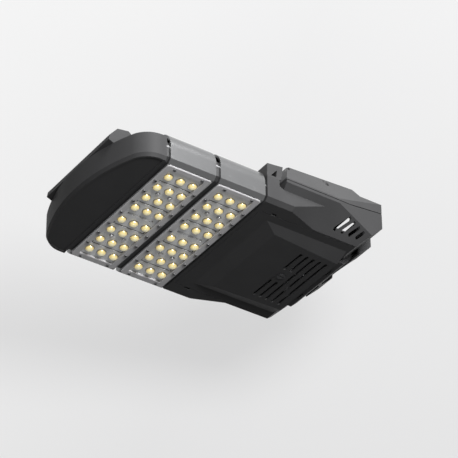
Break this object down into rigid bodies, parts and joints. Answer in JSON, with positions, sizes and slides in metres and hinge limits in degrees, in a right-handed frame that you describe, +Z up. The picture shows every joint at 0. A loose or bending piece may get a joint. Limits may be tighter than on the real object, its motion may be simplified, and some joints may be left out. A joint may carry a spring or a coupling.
{
  "type": "led street light head",
  "caption": "Modular street light head: pole socket tail, driver housing with a hinged cover below, finned light modules with domed lenses, and a bowed nose cap.",
  "frame": {"origin": "on the pole socket's axis, where its bore becomes a full circle", "axes": "+X from the tail to the nose, against the direction in which the pole leaves; +Z up, the light shines down; Y across the lamp"},
  "size_m": [0.465, 0.2864, 0.107],
  "materials": {
    "cast_grey": "dark grey powder coat on cast aluminium",
    "cover_grey": "dark grey powder coat on cast aluminium",
    "sink_satin": "satin silver coat on extruded aluminium",
    "bar_grey": "dark grey powder coat on extruded aluminium",
    "bezel_grey": "mid grey powder coat on die cast aluminium",
    "lens_clear": "clear moulded optic",
    "chip_yellow": "yellow phosphor",
    "board_white": "white solder mask",
    "spacer_black": "black plastic",
    "gasket_black": "black silicone",
    "screw_black": "blackened steel",
    "screw_steel": "stainless steel",
    "driver_white": "pale plastic case",
    "tray_zinc": "zinc plated sheet",
    "terminal_plastic": "pale plastic",
    "surge_blue": "dark blue plastic"
  },
  "bodies": {
    "lamp": {"nose_cap": "cast_grey", "driver_housing": "cast_grey", "top_cover": "cover_grey", "heat_sink_1": "sink_satin", "heat_sink_2": "sink_satin", "cross_bar": "bar_grey", "bezel_1": "bezel_grey", "bezel_2": "bezel_grey", "lens_plate_1": "lens_clear", "lens_plate_2": "lens_clear", "lens_gasket_1": "gasket_black", "lens_gasket_2": "gasket_black", "led_board_1": "board_white", "led_board_2": "board_white", "led_chips_1": "chip_yellow", "led_chips_2": "chip_yellow", "bezel_screws_1": "screw_black", "bezel_screws_2": "screw_black", "board_screws_1": "screw_steel", "board_screws_2": "screw_steel", "nose_spacer": "spacer_black", "middle_spacer": "spacer_black", "housing_spacer": "spacer_black", "tie_rods": "screw_steel", "tie_rod_nuts": "screw_steel", "locating_pins": "screw_steel", "cover_gasket": "gasket_black", "top_cover_screws": "screw_steel", "cross_bar_screws": "screw_steel", "hinge_pins": "screw_steel", "driver_tray": "tray_zinc", "tray_screws": "screw_steel", "led_driver": "driver_white", "driver_screws": "screw_steel", "terminal_block": "terminal_plastic", "surge_protector": "surge_blue", "cable_clamp": "terminal_plastic", "cable_clamp_screws": "screw_steel", "pole_clamp_bolts": "screw_steel", "pole_clamp_nuts": "screw_steel", "lead_glands": "gasket_black"},
    "cover": {"driver_cover": "cast_grey", "cover_lock": "screw_black", "cover_lock_ring": "screw_steel"}
  },
  "joints": [
    {"name": "cover_hinge", "type": "hinge", "parent": "lamp", "child": "cover", "pos_m": [0.02301, 0, -0.0428], "axis": [0, 1, 0], "range_deg": [0, 80]}
  ]
}
